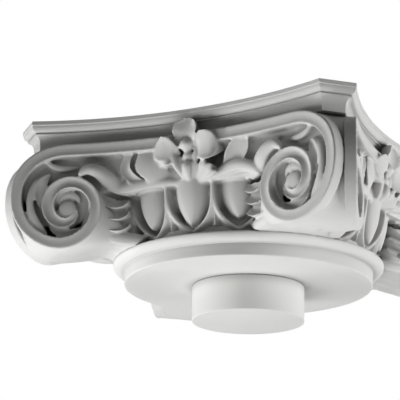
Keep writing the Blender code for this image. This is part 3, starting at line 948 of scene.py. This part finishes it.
def plaster(name, light, dark, grain_mm, seed):
    """Cast plaster: cloudy tone, pores as bump, and painted shade that greys the hollows."""
    material = bpy.data.materials.new(name)
    material.use_nodes = True
    tree = material.node_tree
    shader = tree.nodes["Principled BSDF"]
    place = add_node(tree, "ShaderNodeTexCoord").outputs["Object"]
    noise, at_place = "ShaderNodeTexNoise", {"Vector": place}
    cloud = add_node(tree, noise, {"Scale": 9.0 + seed, "Detail": 4.0, "Roughness": 0.55}, at_place)
    two_tones = {"data_type": "RGBA", 6: linear(dark), 7: linear(light)}
    tone = add_node(tree, "ShaderNodeMix", two_tones, {0: cloud.outputs[0]})
    # Painted shade: ambient occlusion darkens the colour in hollows and creases
    hollows = add_node(tree, "ShaderNodeAmbientOcclusion", {"samples": 8, "Distance": PAINTED_SHADE_REACH})
    shade_share = {1: 0.25, 2: 0.9, 3: 0.5, 4: 1.0}
    painted_shade = add_node(tree, "ShaderNodeMapRange", shade_share, {0: hollows.outputs["AO"]})
    multiply = {"data_type": "RGBA", "blend_type": "MULTIPLY", 0: 1.0}
    final = add_node(tree, "ShaderNodeMix", multiply, {6: tone.outputs[2], 7: painted_shade.outputs[0]})
    tree.links.new(final.outputs[2], shader.inputs["Base Color"])
    pores = add_node(tree, noise, {"Scale": 1000.0 / grain_mm, "Detail": 3.0, "Roughness": 0.6}, at_place)
    drag = add_node(tree, noise, {"Scale": 160.0, "Detail": 2.0}, at_place)
    both = add_node(tree, "ShaderNodeMath", {"operation": "ADD"}, {0: pores.outputs[0], 1: drag.outputs[0]})
    shallow = {"Strength": 0.12, "Distance": 0.0006}
    bump = add_node(tree, "ShaderNodeBump", shallow, {"Height": both.outputs[0]})
    tree.links.new(bump.outputs[0], shader.inputs["Normal"])
    rough = add_node(tree, "ShaderNodeMapRange", {1: 0.3, 2: 0.7, 3: 0.62, 4: 0.8}, {0: cloud.outputs[0]})
    tree.links.new(rough.outputs[0], shader.inputs["Roughness"])
    shader.inputs["IOR"].default_value = GYPSUM_IOR
    shader.inputs["Specular IOR Level"].default_value = 0.35
    return material


cast_plaster = plaster("cast_plaster", "#EDEDEB", "#E2E2E0", 2.2, 0.0)
turned_plaster = plaster("turned_plaster", "#EEEEEC", "#E4E4E2", 3.0, 3.0)
print("light tone of the plaster, linear:", [round(v, 3) for v in linear("#EDEDEB")[:3]])

# %% [markdown]
# Each piece is given its finish, stands for its solid, and shades smoothly except at true arrises.

# %% Dressing the pieces
SHARP_RUN, SHARP_CARVED = 32.0, 38.0
plain_pieces = [neck_moulding, plaster_plug, moulded_abacus, *corner_bodies]
for piece in plain_pieces:
    outward(piece)
for piece in [*plain_pieces, *carved_faces]:
    piece.data.shade_smooth()
    sharp = SHARP_CARVED if piece in carved_faces else SHARP_RUN
    piece.data.set_sharp_from_angle(angle=math.radians(sharp))
    piece.data.materials.append(turned_plaster if piece in (plaster_plug, neck_moulding) else cast_plaster)
    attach(piece, "root")
    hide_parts("plug" if piece is plaster_plug else "capital")
print("triangles on a carved face:", 2 * len(polygons))

# %% [markdown]
# The capital is photographed from below, as it is seen on its column, with broad soft light from both
# sides and from underneath, so the undersides are bright and the fronts of the mouldings stay grey. A
# weak lamp above shows the sides that the photograph hides.

# %% Floor and light
FLOOR_HEIGHT = -0.75
SURROUND_GLOW = 0.1
floor_mesh = bpy.data.meshes.new("pale_floor")
floor_corners = [(x, y, FLOOR_HEIGHT) for x, y in ((-9, -9), (9, -9), (9, 9), (-9, 9))]
floor_mesh.from_pydata(floor_corners, [], [(0, 1, 2, 3)])
pale_floor = bpy.data.objects.new("pale_floor", floor_mesh)
bpy.context.scene.collection.objects.link(pale_floor)
floor_paint = bpy.data.materials.new("floor_paint")
floor_paint.use_nodes = True
floor_shader = floor_paint.node_tree.nodes["Principled BSDF"]
floor_shader.inputs["Base Color"].default_value = linear("#D6D6D6")
floor_shader.inputs["Roughness"].default_value = 0.9
floor_mesh.materials.append(floor_paint)


def soft_light(name, place, aim, size, power):
    """A square lamp of that size in metres and power in watts, turned to the aim."""
    lamp = bpy.data.lights.new(name, "AREA")
    lamp.shape = "SQUARE"
    lamp.size = size
    lamp.energy = power
    made = bpy.data.objects.new(name, lamp)
    made.location = place
    made.rotation_mode = "QUATERNION"
    made.rotation_quaternion = (Vector(aim) - Vector(place)).to_track_quat("-Z", "Y")
    bpy.context.scene.collection.objects.link(made)
    return made


middle = (0.0, 0.0, 0.12)
soft_light("light_right", (2.1, 0.9, -0.35), middle, 0.8, 33.0)
soft_light("light_left", (-2.1, -0.8, -0.5), middle, 0.6, 24.0)
soft_light("light_below", (-0.15, -0.3, -0.72), middle, 0.9, 7.5)
soft_light("light_above", (-0.6, 1.2, 2.0), middle, 1.0, 10.0)

surround = bpy.data.worlds.new("surround")
surround.use_nodes = True
seen = add_node(surround.node_tree, "ShaderNodeLightPath").outputs["Is Camera Ray"]
glow = add_node(surround.node_tree, "ShaderNodeMapRange", {3: SURROUND_GLOW, 4: 1.0}, {0: seen})
sky = surround.node_tree.nodes["Background"]
sky.inputs[0].default_value = (1.0, 1.0, 1.0, 1.0)
surround.node_tree.links.new(glow.outputs[0], sky.inputs[1])
bpy.context.scene.world = surround

# %% [markdown]
# The camera stands low and far away with a long lens, about eighteen degrees below the capital.

# %% Camera
VIEW_BEARING = 24.7
VIEW_BELOW = 18.0
VIEW_DISTANCE = 2.1472
LENS_MM = 176.8
pan, lift, roll = math.radians(-1.424), math.radians(-1.361), math.radians(-0.807)
bearing, below = math.radians(VIEW_BEARING), math.radians(VIEW_BELOW)
back = Vector((math.sin(bearing) * math.cos(below), -math.cos(bearing) * math.cos(below), -math.sin(below)))
target = Vector((0.0, 0.0, ABACUS_TOP * MM))
right = (-back).cross(Vector((0.0, 0.0, 1.0))).normalized()
above = right.cross(-back).normalized()
ahead = (-back + right * math.tan(pan) + above * math.tan(lift)).normalized()
right = ahead.cross(Vector((0.0, 0.0, 1.0))).normalized()
above = right.cross(ahead).normalized()
turned_right = right * math.cos(roll) - above * math.sin(roll)
turned_above = right * math.sin(roll) + above * math.cos(roll)
lens = bpy.data.cameras.new("camera")
lens.sensor_width = 36.0
lens.lens = LENS_MM
camera = bpy.data.objects.new("camera", lens)
spin = Matrix((turned_right, turned_above, -ahead)).transposed().to_4x4()
camera.matrix_world = Matrix.Translation(target + back * VIEW_DISTANCE) @ spin
bpy.context.scene.collection.objects.link(camera)
bpy.context.scene.camera = camera
bpy.context.scene.view_settings.view_transform = "Standard"
print("camera", round(VIEW_DISTANCE, 3), "m away,", VIEW_BELOW, "degrees below")
